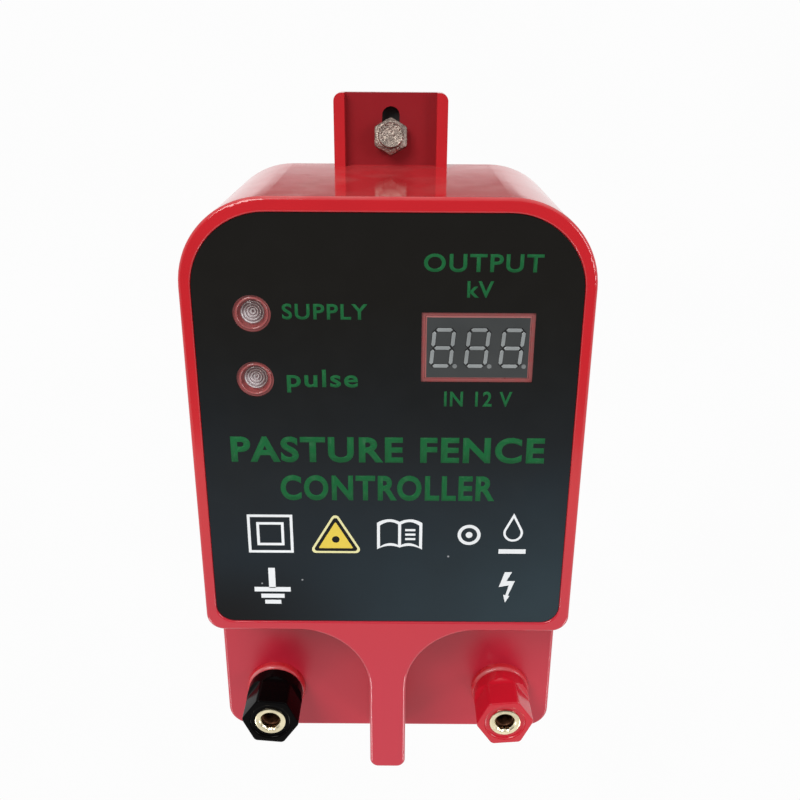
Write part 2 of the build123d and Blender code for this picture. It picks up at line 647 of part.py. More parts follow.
def power_device(name, x, z):
    """A three-legged power device standing on the board, its tab facing up."""
    with BuildPart() as device:
        add_block(x, z, 10, DEVICE_TAB, BOARD_BACK - 20, BOARD_BACK - 5)
        add_block(x, z - 1.6, 10, 3.2, BOARD_BACK - 13.5, BOARD_BACK - 4.5)
        for leg_x in (-2.54, 0, 2.54):
            add_block(x + leg_x, z - 1.6, 0.8, 0.5, BOARD_BACK - 4.5, BOARD_BACK)
    finish(device, name)


power_device("mosfet", SINK_X, SINK_Z - SINK_BASE / 2 - DEVICE_TAB / 2)
power_device("thyristor", -2.0, -56.0)

CHIP_X = 23.0
CHIP_Z = -49.0
with BuildPart() as control_chip:
    add_block(CHIP_X, CHIP_Z, 22.5, 6.4, BOARD_BACK - 4.0, BOARD_BACK - 0.8)
    with BuildSketch(wall_plane(BOARD_BACK - 2.4)):
        with Locations((CHIP_X, CHIP_Z)):
            with GridLocations(2.54, 7.0, 8, 2):
                Rectangle(0.5, 0.8)
    extrude(amount=2.4)
finish(control_chip, "control_chip")

FUSE_X = 23.0
FUSE_Z = -34.0
FUSE_HEIGHT = 6.0
FUSE_RADIUS = 2.6
FUSE_LENGTH = 20.0
with BuildPart() as fuse:
    with BuildSketch(Plane.YZ.offset(FUSE_X - FUSE_LENGTH / 2)):
        with Locations((FUSE_HEIGHT - BOARD_BACK, FUSE_Z)):
            Circle(FUSE_RADIUS)
    extrude(amount=FUSE_LENGTH)
finish(fuse, "fuse")

with BuildPart() as fuse_clips:
    for x in (FUSE_X - 7.5, FUSE_X + 7.5):
        add_block(x, FUSE_Z, 4, 7.2, BOARD_BACK - FUSE_HEIGHT - 2, BOARD_BACK)
    with BuildSketch(Plane.YZ.offset(FUSE_X - FUSE_LENGTH / 2)):
        with Locations((FUSE_HEIGHT - BOARD_BACK, FUSE_Z)):
            Circle(FUSE_RADIUS)
        with Locations((FUSE_HEIGHT - BOARD_BACK + 5, FUSE_Z)):
            Rectangle(10, 4)
    extrude(amount=FUSE_LENGTH, mode=Mode.SUBTRACT)
finish(fuse_clips, "fuse_clips")

RESISTOR_X = -20.5
RESISTOR_HEIGHTS = [-54.0, -58.0, -62.0]
RESISTOR_STAND = 2.2
WIRE_RADIUS = 0.3
with BuildPart() as resistors:
    for z in RESISTOR_HEIGHTS:
        for length, radius in ((7.0, 1.2), (10.0, WIRE_RADIUS)):
            with BuildSketch(Plane.YZ.offset(RESISTOR_X - length / 2)):
                with Locations((RESISTOR_STAND - BOARD_BACK, z)):
                    Circle(radius)
            extrude(amount=length)
        for side in (-1, 1):
            add_disc(RESISTOR_X + side * 5.0, z, WIRE_RADIUS, BOARD_BACK - RESISTOR_STAND, BOARD_BACK)
finish(resistors, "resistors")

CONNECTOR_X = 3.0
CONNECTOR_BOTTOM = -107.0
CONNECTOR_SIZE = 8.0
CONNECTOR_BACK = BOARD_BACK - CONNECTOR_SIZE
CONNECTOR_PITCH = 4.0
with BuildPart() as power_connector:
    connector_middle = CONNECTOR_BOTTOM + CONNECTOR_SIZE / 2
    add_block(CONNECTOR_X, connector_middle, CONNECTOR_SIZE, CONNECTOR_SIZE, CONNECTOR_BACK, BOARD_BACK)
    fillet(power_connector.edges().filter_by(Axis.Y), 0.6)
    with BuildSketch(level_plane(CONNECTOR_BOTTOM)):
        with Locations((CONNECTOR_X, -(CONNECTOR_BACK + CONNECTOR_SIZE / 2))):
            with GridLocations(CONNECTOR_PITCH, 0, 2, 1):
                Circle(LEAD_RADIUS + 0.05)
    extrude(amount=4, mode=Mode.SUBTRACT)
finish(power_connector, "power_connector")

# ---------------------------------------------------------------- power inlet

with BuildPart() as power_jack:
    add_upright(0, JACK_DEPTH, JACK_FLANGE_RADIUS, CASE_FLOOR, JACK_SEAT)
    chamfer(power_jack.faces().sort_by(Axis.Z)[0].edges(), 0.4)
    add_upright(0, JACK_DEPTH, JACK_RADIUS, JACK_SEAT, CASE_FLOOR + JACK_TOP)
    add_upright(0, JACK_DEPTH, JACK_BORE_RADIUS, CASE_FLOOR, CASE_FLOOR + JACK_BORE_DEPTH, Mode.SUBTRACT)
    chamfer(power_jack.faces().sort_by(Axis.Z)[0].inner_wires().edges(), 0.4)
finish(power_jack, "power_jack")

with BuildPart() as power_jack_pin:
    add_upright(0, JACK_DEPTH, 1.05, CASE_FLOOR + 1, CASE_FLOOR + JACK_BORE_DEPTH)
    chamfer(power_jack_pin.faces().sort_by(Axis.Z)[0].edges(), 0.3)
finish(power_jack_pin, "power_jack_pin")

JACK_LUG_TOP = CASE_FLOOR + JACK_TOP + 4
with BuildPart() as power_jack_lugs:
    with BuildSketch(level_plane(CASE_FLOOR + JACK_TOP)):
        with Locations((0, -JACK_DEPTH)):
            with GridLocations(JACK_LUG_SPACING, 0, 2, 1):
                Rectangle(2.2, 0.6)
    extrude(amount=4)
finish(power_jack_lugs, "power_jack_lugs")

with BuildPart() as power_jack_nut:
    with BuildSketch(level_plane(JACK_NUT_SEAT)):
        with Locations((0, -JACK_DEPTH)):
            RegularPolygon(7.0, 6, major_radius=False)
            Circle(JACK_RADIUS + 0.02, mode=Mode.SUBTRACT)
    extrude(amount=2.5)
finish(power_jack_nut, "power_jack_nut")

# ---------------------------------------------------------------- internal leads


def lead_along(points, radii):
    """One insulated lead: straight runs joined by tangent arcs."""
    with BuildPart() as lead:
        with BuildLine() as route:
            FilletPolyline(*points, radius=radii)
        with BuildSketch(route.line ^ 0):
            Circle(LEAD_RADIUS)
        sweep(path=route.line)
    return lead


OUTPUT_PAD_X = 32.0
OUTPUT_PAD_Z = -106.0
for lead_name, side in (("earth_lead", -1), ("fence_lead", 1)):
    output_lead = lead_along(
        [
            (side * OUTPUT_PAD_X, -BOARD_BACK, OUTPUT_PAD_Z),
            (side * OUTPUT_PAD_X, -LUG_MIDDLE - 3, OUTPUT_PAD_Z),
            (side * TERMINAL_X, -LUG_MIDDLE, OUTPUT_PAD_Z - 10),
            (side * TERMINAL_X, -LUG_MIDDLE, BARREL_BOTTOM + 1.5),
        ],
        [4.0, 6.0],
    )
    finish(output_lead, lead_name)

for lead_name, side in (("power_lead_positive", 1), ("power_lead_negative", -1)):
    socket_x = CONNECTOR_X + side * CONNECTOR_PITCH / 2
    power_lead = lead_along(
        [
            (side * JACK_LUG_SPACING / 2, -JACK_DEPTH, JACK_LUG_TOP),
            (side * JACK_LUG_SPACING / 2, -JACK_DEPTH, JACK_LUG_TOP + 8),
            (socket_x, -(CONNECTOR_BACK - 2), CONNECTOR_BOTTOM - 12),
            (socket_x, -(CONNECTOR_BACK + CONNECTOR_SIZE / 2), CONNECTOR_BOTTOM - 5),
            (socket_x, -(CONNECTOR_BACK + CONNECTOR_SIZE / 2), CONNECTOR_BOTTOM + 3),
        ],
        [7.0, 5.0, 3.5],
    )
    finish(power_lead, lead_name)
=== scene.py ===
"""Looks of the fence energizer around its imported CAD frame. Metres, +Z up, the panel faces -Y."""
import json
from math import asin, cos, pi, radians, sin, sqrt, tan

import bmesh
import bpy
from mathutils import Matrix, Vector


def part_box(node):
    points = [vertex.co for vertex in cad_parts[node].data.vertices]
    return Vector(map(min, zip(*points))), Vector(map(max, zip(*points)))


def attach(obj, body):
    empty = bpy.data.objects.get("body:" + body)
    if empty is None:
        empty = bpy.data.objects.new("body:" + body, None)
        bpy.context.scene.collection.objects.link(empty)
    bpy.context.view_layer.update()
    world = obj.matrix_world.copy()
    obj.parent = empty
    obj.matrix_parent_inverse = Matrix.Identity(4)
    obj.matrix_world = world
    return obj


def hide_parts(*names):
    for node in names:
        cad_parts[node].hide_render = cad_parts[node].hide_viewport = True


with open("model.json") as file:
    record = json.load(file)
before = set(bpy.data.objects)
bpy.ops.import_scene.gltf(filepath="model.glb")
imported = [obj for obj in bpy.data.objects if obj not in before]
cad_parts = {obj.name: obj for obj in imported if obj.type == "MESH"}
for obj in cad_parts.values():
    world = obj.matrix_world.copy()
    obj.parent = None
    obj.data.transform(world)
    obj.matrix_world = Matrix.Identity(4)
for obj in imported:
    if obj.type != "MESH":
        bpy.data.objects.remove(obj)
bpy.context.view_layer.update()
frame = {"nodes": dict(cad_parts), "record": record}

MM = 0.001
mounts = {mount["name"]: Vector(mount["pos_m"]) for mount in frame["record"]["mounts"]}

# Places, read from the frame but for the web's width
HOUSING_LOW, HOUSING_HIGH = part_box("front_housing")
LABEL_LOW, LABEL_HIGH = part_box("front_label")
CASE_TOP = HOUSING_HIGH.z
CASE_BOTTOM = HOUSING_LOW.z
CASE_FRONT = HOUSING_LOW.y
LABEL_FRONT = LABEL_LOW.y
LABEL_BACK = LABEL_HIGH.y
WEB_EDGE = 11.4 * MM  # half the width of the tab's web, between its two ribs


def depths(node):
    """How far forward of the wall plane a CAD node's back and front are."""
    low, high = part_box(node)
    return -high.y, -low.y


def half_width(node):
    low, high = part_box(node)
    return (high.x - low.x) / 2


# ------------------------------------------------------------------ camera and light

def add_camera():
    """The camera looks down on the panel from just above the case, slightly to the right of its middle."""
    right, ahead, above = 2.7 * MM, 184 * MM, 29.5 * MM
    downward, roll = 21.8, 0.35
    data = bpy.data.cameras.new("camera")
    data.lens = 40.5
    data.sensor_width = 36.0
    camera = bpy.data.objects.new("camera", data)
    camera.location = (right, CASE_FRONT - ahead, CASE_TOP + above)
    aim = Matrix.Rotation(radians(90 - downward), 4, "X") @ Matrix.Rotation(radians(roll), 4, "Z")
    camera.rotation_euler = aim.to_euler()
    bpy.context.scene.collection.objects.link(camera)
    bpy.context.scene.camera = camera


def area_light(name, place, target, size, watts, tint=(1, 1, 1)):
    """A soft rectangular light aimed at a point."""
    data = bpy.data.lights.new(name, "AREA")
    data.shape = "RECTANGLE"
    data.size, data.size_y = size
    data.energy = watts
    data.color = tint
    light = bpy.data.objects.new(name, data)
    light.location = place
    light.rotation_euler = (Vector(target) - Vector(place)).to_track_quat("-Z", "Y").to_euler()
    bpy.context.scene.collection.objects.link(light)


def band_mask(nodes, links, ranges):
    """The product of smooth ramps, each (value, where it is 0, where it is 1)."""
    factor = None
    for value, zero, one in ranges:
        ramp = nodes.new("ShaderNodeMapRange")
        ramp.interpolation_type = "SMOOTHSTEP"
        ramp.inputs["From Min"].default_value = zero
        ramp.inputs["From Max"].default_value = one
        links.new(value, ramp.inputs["Value"])
        factor = product(nodes, links, factor, ramp.outputs[0]) if factor else ramp.outputs[0]
    return factor


def product(nodes, links, first, second):
    """Two values multiplied."""
    node = nodes.new("ShaderNodeMath")
    node.operation = "MULTIPLY"
    links.new(first, node.inputs[0])
    links.new(second, node.inputs[1])
    return node.outputs[0]


def blended(nodes, links, factor, under, over):
    """The colour under with a flat colour over it, by a factor."""
    mix = nodes.new("ShaderNodeMix")
    mix.data_type = "RGBA"
    links.new(factor, mix.inputs["Factor"])
    if isinstance(under, tuple):
        mix.inputs["A"].default_value = (*under, 1)
    else:
        links.new(under, mix.inputs["A"])
    mix.inputs["B"].default_value = (*over, 1)
    return mix.outputs["Result"]


def split_axes(nodes, links, vector):
    """A vector's three components."""
    split = nodes.new("ShaderNodeSeparateXYZ")
    links.new(vector, split.inputs[0])
    return split.outputs["X"], split.outputs["Y"], split.outputs["Z"]


def set_world():
    """A pale room, dark level with the object in front of the panel and greyer low down behind it."""
    world = bpy.data.worlds.new("studio")
    world.use_nodes = True
    bpy.context.scene.world = world
    nodes, links = world.node_tree.nodes, world.node_tree.links
    _, ahead, up = split_axes(nodes, links, nodes.new("ShaderNodeTexCoord").outputs["Generated"])
    front_band = band_mask(nodes, links, [(ahead, -0.2, -0.9), (up, -0.60, -0.30), (up, 0.65, 0.35)])
    rear_band = band_mask(nodes, links, [(ahead, 0.3, 0.7), (up, -0.06, 0.04), (up, 0.60, 0.50)])
    colour = blended(nodes, links, front_band, (0.95, 0.95, 0.97), (0.09, 0.09, 0.10))
    colour = blended(nodes, links, rear_band, colour, (0.24, 0.22, 0.22))
    links.new(colour, nodes["Background"].inputs["Color"])
    nodes["Background"].inputs["Strength"].default_value = 0.95


def add_backdrop():
    """A seamless white sheet: a floor well below the hanging object that curves up behind it."""
    reach, near, far, bend = 1.3, -0.9, 0.42, 0.22
    floor_height, top = CASE_BOTTOM - 0.30, CASE_TOP + 0.058
    profile = [(near, floor_height), (far - bend, floor_height)]
    steps = 16
    for i in range(1, steps + 1):
        angle = (pi / 2) * i / steps
        profile.append((far - bend + bend * sin(angle), floor_height + bend * (1 - cos(angle))))
    profile.append((far, top))
    mesh = bmesh.new()
    rows = [[mesh.verts.new((x, y, z)) for x in (-reach, reach)] for y, z in profile]
    for low, high in zip(rows, rows[1:]):
        mesh.faces.new((low[0], low[1], high[1], high[0]))
    sheet = mesh_object("backdrop", mesh)
    material, nodes, links, shader = new_material("backdrop_paper")
    fibre = noise(nodes, links, 9.0, 3)
    tone = colour_ramp(nodes, links, fibre, [(0.3, (0.976, 0.976, 0.976)), (0.7, (0.982, 0.982, 0.982))])
    links.new(tone, shader.inputs["Emission Color"])
    shader.inputs["Emission Strength"].default_value = 1.0
    shader.inputs["Base Color"].default_value = (0, 0, 0, 1)
    shader.inputs["Specular IOR Level"].default_value = 0.0
    shader.inputs["Roughness"].default_value = 1.0
    sheet.data.materials.append(material)


# ------------------------------------------------------------------ materials

def new_material(name):
    material = bpy.data.materials.new(name)
    material.use_nodes = True
    nodes, links = material.node_tree.nodes, material.node_tree.links
    return material, nodes, links, nodes["Principled BSDF"]


def noise(nodes, links, scale, detail=4.0, distortion=0.0):
    """Noise in the frame's own coordinates. scale is in cycles per metre."""
    place = nodes.new("ShaderNodeTexCoord")
    texture = nodes.new("ShaderNodeTexNoise")
    texture.inputs["Scale"].default_value = scale
    texture.inputs["Detail"].default_value = detail
    texture.inputs["Distortion"].default_value = distortion
    links.new(place.outputs["Object"], texture.inputs["Vector"])
    return texture.outputs["Fac"]


def colour_ramp(nodes, links, value, stops):
    ramp = nodes.new("ShaderNodeValToRGB")
    elements = ramp.color_ramp.elements
    elements[0].position, elements[0].color = stops[0][0], (*stops[0][1], 1)
    elements[1].position, elements[1].color = stops[-1][0], (*stops[-1][1], 1)
    for position, colour in stops[1:-1]:
        elements.new(position).color = (*colour, 1)
    links.new(value, ramp.inputs["Fac"])
    return ramp.outputs["Color"]


def ranged(nodes, links, value, low, high):
    """A 0 to 1 value taken to low to high."""
    node = nodes.new("ShaderNodeMapRange")
    node.inputs["From Min"].default_value = 0.3
    node.inputs["From Max"].default_value = 0.7
    node.inputs["To Min"].default_value = low
    node.inputs["To Max"].default_value = high
    links.new(value, node.inputs["Value"])
    return node.outputs["Result"]


def add_bump(nodes, links, shader, layers):
    """Bump from several heights, each (value, depth in metres)."""
    normal = None
    for value, depth in layers:
        bump = nodes.new("ShaderNodeBump")
        bump.inputs["Strength"].default_value = 1.0
        bump.inputs["Distance"].default_value = depth
        links.new(value, bump.inputs["Height"])
        if normal:
            links.new(normal, bump.inputs["Normal"])
        normal = bump.outputs["Normal"]
    links.new(normal, shader.inputs["Normal"])


def tinted(colour, factor):
    return tuple(min(1.0, channel * factor) for channel in colour)


def plastic(name, colour, roughness, mottle=0.05, grain=0.000002, specular=0.5, ripple_depth=0.00002):
    """Moulded plastic: slight colour drift, uneven gloss, a faint moulding ripple and a fine grain."""
    material, nodes, links, shader = new_material(name)
    drift = noise(nodes, links, 35.0, 5)
    stops = [(0.3, tinted(colour, 1 - mottle)), (0.7, tinted(colour, 1 + mottle))]
    links.new(colour_ramp(nodes, links, drift, stops), shader.inputs["Base Color"])
    gloss = noise(nodes, links, 160.0, 6)
    links.new(ranged(nodes, links, gloss, roughness * 0.75, roughness * 1.3), shader.inputs["Roughness"])
    shader.inputs["Specular IOR Level"].default_value = specular
    ripple = noise(nodes, links, 90.0, 2)
    fine = noise(nodes, links, 2600.0, 3)
    add_bump(nodes, links, shader, [(ripple, ripple_depth), (fine, grain)])
    return material


def metal(name, colour, roughness, pitting=0.0, tarnish=0.12):
    """Bare metal: tarnish in the colour, uneven polish, fine scratches and, where asked, pits."""
    material, nodes, links, shader = new_material(name)
    stain = noise(nodes, links, 420.0, 8, 0.4)
    stops = [(0.3, tinted(colour, 1 - 2.5 * tarnish)), (0.55, colour), (0.75, tinted(colour, 1 + tarnish))]
    links.new(colour_ramp(nodes, links, stain, stops), shader.inputs["Base Color"])
    shader.inputs["Metallic"].default_value = 1.0
    polish = noise(nodes, links, 900.0, 4)
    links.new(ranged(nodes, links, polish, roughness * 0.7, roughness * 1.5), shader.inputs["Roughness"])
    scratches = noise(nodes, links, 5200.0, 2)
    layers = [(scratches, 0.0000015)]
    if pitting:
        pits = noise(nodes, links, 1500.0, 6, 0.8)
        layers.append((pits, pitting))
    add_bump(nodes, links, shader, layers)
    return material


def clear(name, tint, roughness=0.03, alpha=1.0):
    """Clear moulded resin or glass. A lower alpha lets more light straight through."""
    material, nodes, links, shader = new_material(name)
    drift = noise(nodes, links, 300.0, 3)
    tone = colour_ramp(nodes, links, drift, [(0.3, tinted(tint, 0.97)), (0.7, tint)])
    links.new(tone, shader.inputs["Base Color"])
    shader.inputs["Transmission Weight"].default_value = 1.0
    shader.inputs["IOR"].default_value = 1.5
    shader.inputs["Alpha"].default_value = alpha
    smear = noise(nodes, links, 900.0, 3)
    links.new(ranged(nodes, links, smear, roughness * 0.5, roughness * 1.5), shader.inputs["Roughness"])
    return material


def case_plastic():
    """Glossy red plastic, painted pinker low down as cool light from below.

    The tab's web is painted darker as shade, what shows through the panel's openings is a duller, greyer red in
    patches, the top is smeared and the platform is duller.
    """
    material = plastic("red_case", (0.50, 0.015, 0.021), 0.10, specular=0.55)
    nodes, links = material.node_tree.nodes, material.node_tree.links
    shader = nodes["Principled BSDF"]
    across, ahead, up = split_axes(nodes, links, nodes.new("ShaderNodeTexCoord").outputs["Object"])
    _, facing, upward = split_axes(nodes, links, nodes.new("ShaderNodeNewGeometry").outputs["Normal"])
    width = nodes.new("ShaderNodeMath")
    width.operation = "ABSOLUTE"
    links.new(across, width.inputs[0])
    colour = shader.inputs["Base Color"].links[0].from_socket
    # Painted light: the case is tinted pinker low down, as if a cool light fell on it from below.
    cool_light_painted_low = band_mask(nodes, links, [(up, CASE_TOP - 60 * MM, CASE_BOTTOM + 20 * MM)])
    colour = blended(nodes, links, cool_light_painted_low, colour, (0.47, 0.014, 0.034))
    # Painted shade: the tab's web between its ribs is coloured darker.
    web_painted_shade = band_mask(nodes, links, [
        (width.outputs[0], WEB_EDGE + 0.1 * MM, WEB_EDGE - 0.1 * MM),
        (ahead, -4.6 * MM, -4.3 * MM),
        (up, CASE_TOP - 0.5 * MM, CASE_TOP + 0.2 * MM),
    ])
    colour = blended(nodes, links, web_painted_shade, colour, (0.27, 0.010, 0.015))
    in_openings = band_mask(nodes, links, [
        (width.outputs[0], LABEL_HIGH.x - 5 * MM, LABEL_HIGH.x - 6 * MM),
        (ahead, LABEL_BACK - 0.25 * MM, LABEL_BACK - 0.05 * MM),
        (ahead, LABEL_BACK + 3.2 * MM, LABEL_BACK + 3.0 * MM),
        (up, LABEL_HIGH.z - 9 * MM, LABEL_HIGH.z - 10 * MM),
    ])
    # What shows through the label's openings is coloured a duller, greyer red, a little unevenly.
    openings_mottle = ranged(nodes, links, noise(nodes, links, 700.0, 5), 0.70, 0.95)
    colour = blended(nodes, links, product(nodes, links, in_openings, openings_mottle), colour, (0.28, 0.110, 0.105))
    on_top = band_mask(nodes, links, [(upward, 0.35, 0.85), (up, CASE_TOP - 16 * MM, CASE_TOP - 12 * MM)])
    smears = noise(nodes, links, 60.0, 6, 0.5)
    film = colour_ramp(nodes, links, smears, [
        (0.40, (0.03, 0.03, 0.03)), (0.56, (0.12, 0.12, 0.12)), (0.72, (0.34, 0.34, 0.34)),
    ])
    colour = blended(nodes, links, product(nodes, links, film, on_top), colour, (0.55, 0.30, 0.27))
    links.new(colour, shader.inputs["Base Color"])
    on_platform = band_mask(nodes, links, [
        (facing, -0.90, -0.97), (ahead, CASE_FRONT + 14 * MM, CASE_FRONT + 15 * MM),
    ])
    dulled = nodes.new("ShaderNodeMath")
    dulled.operation = "MULTIPLY_ADD"
    links.new(on_platform, dulled.inputs[0])
    dulled.inputs[1].default_value = 0.20
    links.new(shader.inputs["Roughness"].links[0].from_socket, dulled.inputs[2])
    links.new(dulled.outputs[0], shader.inputs["Roughness"])
    return material


def label_film():
    """Dark printed film, almost black at the top, a painted reflection bluer at the bottom right, pale dust
    specks.
    """
    grey = (0.006, 0.006, 0.006)
    material = plastic("printed_label", grey, 0.2, mottle=0.2, specular=0.14, ripple_depth=0.00001)
    nodes, links = material.node_tree.nodes, material.node_tree.links
    shader = nodes["Principled BSDF"]
    place = nodes.new("ShaderNodeTexCoord").outputs["Object"]
    across, _, up = split_axes(nodes, links, place)
    colour = (0.0105, 0.0098, 0.0086)
    middle = (LABEL_HIGH.z + LABEL_LOW.z) / 2
    # Painted reflection: the film is tinted bluer low down and towards the bottom right, and darker at the bottom
    # left.
    painted_reflection_cloud = ranged(nodes, links, noise(nodes, links, 38.0, 4), 0.75, 1.15)
    lower = band_mask(nodes, links, [(up, middle + 38 * MM, LABEL_LOW.z + 4 * MM)])
    colour = blended(nodes, links, product(nodes, links, lower, painted_reflection_cloud), colour, (0.0095, 0.0150, 0.0200))
    right = band_mask(nodes, links, [(across, LABEL_LOW.x * 0.9, LABEL_HIGH.x), (up, middle, LABEL_LOW.z)])
    colour = blended(nodes, links, product(nodes, links, right, painted_reflection_cloud), colour, (0.020, 0.034, 0.042))
    left = band_mask(nodes, links, [(across, 0.0, LABEL_LOW.x), (up, LABEL_LOW.z + 22 * MM, LABEL_LOW.z)])
    colour = blended(nodes, links, left, colour, (0.0035, 0.0035, 0.004))
    specks = nodes.new("ShaderNodeTexVoronoi")
    specks.inputs["Scale"].default_value = 95.0
    links.new(place, specks.inputs["Vector"])
    spot = band_mask(nodes, links, [(specks.outputs["Distance"], 0.030, 0.014)])
    colour = blended(nodes, links, spot, colour, (0.30, 0.31, 0.32))
    links.new(colour, shader.inputs["Base Color"])
    return material


def red_with_painted_highlight():
    """Glossy red plastic with a pale painted highlight on the upper left part of its round edge."""
    material = plastic("collar_red", (0.50, 0.02, 0.03), 0.24, specular=0.4)
    nodes, links = material.node_tree.nodes, material.node_tree.links
    shader = nodes["Principled BSDF"]
    sideways, facing, upward = split_axes(nodes, links, nodes.new("ShaderNodeNewGeometry").outputs["Normal"])
    # Painted highlight: pale where the round edge faces up, forward and to the left, broken into patches.
    highlight_band = band_mask(nodes, links, [(upward, 0.10, 0.6), (facing, -0.15, -0.50), (sideways, 0.55, -0.25)])
    highlight_patches = ranged(nodes, links, noise(nodes, links, 160.0, 4), 0.05, 0.60)
    colour = shader.inputs["Base Color"].links[0].from_socket
    colour = blended(nodes, links, product(nodes, links, highlight_band, highlight_patches), colour, (0.55, 0.30, 0.30))
    links.new(colour, shader.inputs["Base Color"])
    return material


def reflector(name, dull, bright, centre, roughness):
    """A lamp's reflector, with a painted highlight towards its lower left and duller elsewhere."""
    material = plastic(name, dull, roughness, mottle=0.2)
    nodes, links = material.node_tree.nodes, material.node_tree.links
    across, _, up = split_axes(nodes, links, nodes.new("ShaderNodeTexCoord").outputs["Object"])
    # Painted highlight: the reflector is coloured brighter towards its lower left.
    painted_highlight = band_mask(nodes, links, [
        (across, centre[0] + 2.6 * MM, centre[0] - 1.2 * MM),
        (up, centre[1] + 1.4 * MM, centre[1] - 0.8 * MM),
    ])
    shader = nodes["Principled BSDF"]
    colour = blended(nodes, links, painted_highlight, shader.inputs["Base Color"].links[0].from_socket, bright)
    links.new(colour, shader.inputs["Base Color"])
    return material


def ink(name, colour, specular=0.15):
    """Screen-printed ink: almost flat, a little uneven in colour."""
    return plastic(name, colour, 0.4, mottle=0.12, grain=0.000001, specular=specular, ripple_depth=0.000001)


paint = {
    "red_case": case_plastic(),
    "printed_label": label_film(),
    "gasket_rubber": plastic("gasket_rubber", (0.012, 0.012, 0.012), 0.6),
    "clear_lens": clear("clear_lens", (0.98, 0.97, 0.96), 0.01, 0.4),
    "display_body": plastic(
        "display_body", (0.040, 0.043, 0.043), 0.35, mottle=0.12, grain=0.000006, specular=0.3
    ),
    "tinned_steel": metal("tinned_steel", (0.62, 0.61, 0.58), 0.25),
    "zinc_screw": metal("zinc_screw", (0.29, 0.24, 0.205), 0.34, pitting=0.00030, tarnish=0.30),
    "brass": metal("brass", (0.82, 0.73, 0.50), 0.17, pitting=0.00001, tarnish=0.10),
    "black_terminal": plastic("black_terminal", (0.0015, 0.0012, 0.0013), 0.12, specular=0.04),
    "red_terminal": plastic("red_terminal", (0.50, 0.009, 0.022), 0.14, specular=0.45),
    "board_laminate": plastic("board_laminate", (0.01, 0.10, 0.03), 0.35),
    "laminations": metal("laminations", (0.18, 0.18, 0.19), 0.5),
    "ferrite": plastic("ferrite", (0.03, 0.03, 0.035), 0.55),
    "bobbin_nylon": plastic("bobbin_nylon", (0.72, 0.68, 0.56), 0.45),
    "enamelled_copper": metal("enamelled_copper", (0.55, 0.20, 0.07), 0.3),
    "capacitor_box": plastic("capacitor_box", (0.55, 0.36, 0.04), 0.35),
    "capacitor_sleeve": plastic("capacitor_sleeve", (0.01, 0.02, 0.07), 0.3),
    "device_epoxy": plastic("device_epoxy", (0.012, 0.012, 0.013), 0.5),
    "sink_aluminium": metal("sink_aluminium", (0.45, 0.46, 0.48), 0.4),
    "fuse_glass": clear("fuse_glass", (0.95, 0.98, 0.98)),
    "resistor_coat": plastic("resistor_coat", (0.40, 0.28, 0.16), 0.5),
    "connector_green": plastic("connector_green", (0.02, 0.18, 0.05), 0.45),
    "red_insulation": plastic("red_insulation", (0.45, 0.01, 0.015), 0.4),
    "black_insulation": plastic("black_insulation", (0.01, 0.01, 0.01), 0.4),
}
print_green = ink("print_green", (0.011, 0.108, 0.034), 0.06)
print_white = ink("print_white", (0.72, 0.74, 0.75))
print_yellow = ink("print_yellow", (0.66, 0.50, 0.07))
print_pale_yellow = ink("print_pale_yellow", (0.70, 0.66, 0.34))
print_black = ink("print_black", (0.006, 0.007, 0.008))
segment_grey = plastic("segment_grey", (0.22, 0.235, 0.235), 0.12, mottle=0.40, grain=0.00003)
display_edge = plastic("display_edge", (0.34, 0.115, 0.110), 0.3, mottle=0.15, grain=0.000006)
segment_edge = plastic("segment_edge", (0.008, 0.008, 0.008), 0.3)
point_grey = plastic("point_grey", (0.15, 0.16, 0.16), 0.3, mottle=0.2, grain=0.00001)
collar_red = red_with_painted_highlight()
rim_red = plastic("rim_red", (0.30, 0.065, 0.062), 0.07, mottle=0.15, specular=0.9)
# Painted shade: the stud deep in each cap's bore is nearly black brass, so the bore looks shaded.
brass_in_painted_shade = metal("brass_in_painted_shade", (0.10, 0.045, 0.025), 0.45, pitting=0.00002, tarnish=0.2)

for subpart in frame["record"]["subparts"]:
    node = frame["nodes"][subpart["node"]]
    node.data.materials.clear()
    node.data.materials.append(paint[subpart["material_slot"]])


# ------------------------------------------------------------------ mesh helpers

def finish_piece(piece, body, material, replaces=()):
    """Gives a piece its material and body, and hides the CAD nodes it stands for."""
    if material:
        piece.data.materials.clear()
        piece.data.materials.append(material)
    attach(piece, body)
    if replaces:
        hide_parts(*replaces)
    return piece


def turned(name, rings, centre, segments=144, closed=False, smooth_angle=35.0):
    """A form round an axis that runs towards the front.

    rings are (depth, radius): the depth is forward of the wall plane, and the radius is a number or a function of
    the angle. centre is (x, z). A closed form's last ring joins its first.
    """
    mesh = bmesh.new()
    loops = []
    for depth, radius in rings:
        loop = []
        for i in range(segments):
            angle = 2 * pi * i / segments
            r = radius(angle) if callable(radius) else radius
            loop.append(mesh.verts.new((centre[0] + r * cos(angle), -depth, centre[1] + r * sin(angle))))
        loops.append(loop)
    pairs = list(zip(loops, loops[1:]))
    if closed:
        pairs.append((loops[-1], loops[0]))
    for near, far in pairs:
        for i in range(segments):
            j = (i + 1) % segments
            mesh.faces.new((near[i], near[j], far[j], far[i]))
    if not closed:
        mesh.faces.new(loops[0][::-1])
        mesh.faces.new(loops[-1])
    return mesh_object(name, mesh, smooth_angle)


def mesh_object(name, mesh, smooth_angle=35.0):
    """A bmesh as a linked object, shaded smooth except across sharp edges."""
    bmesh.ops.recalc_face_normals(mesh, faces=mesh.faces)
    for edge in mesh.edges:
        if len(edge.link_faces) == 2:
            edge.smooth = edge.calc_face_angle(0) < radians(smooth_angle)
    for face in mesh.faces:
        face.smooth = True
    data = bpy.data.meshes.new(name)
    mesh.to_mesh(data)
    mesh.free()
    piece = bpy.data.objects.new(name, data)
    bpy.context.scene.collection.objects.link(piece)
    return piece


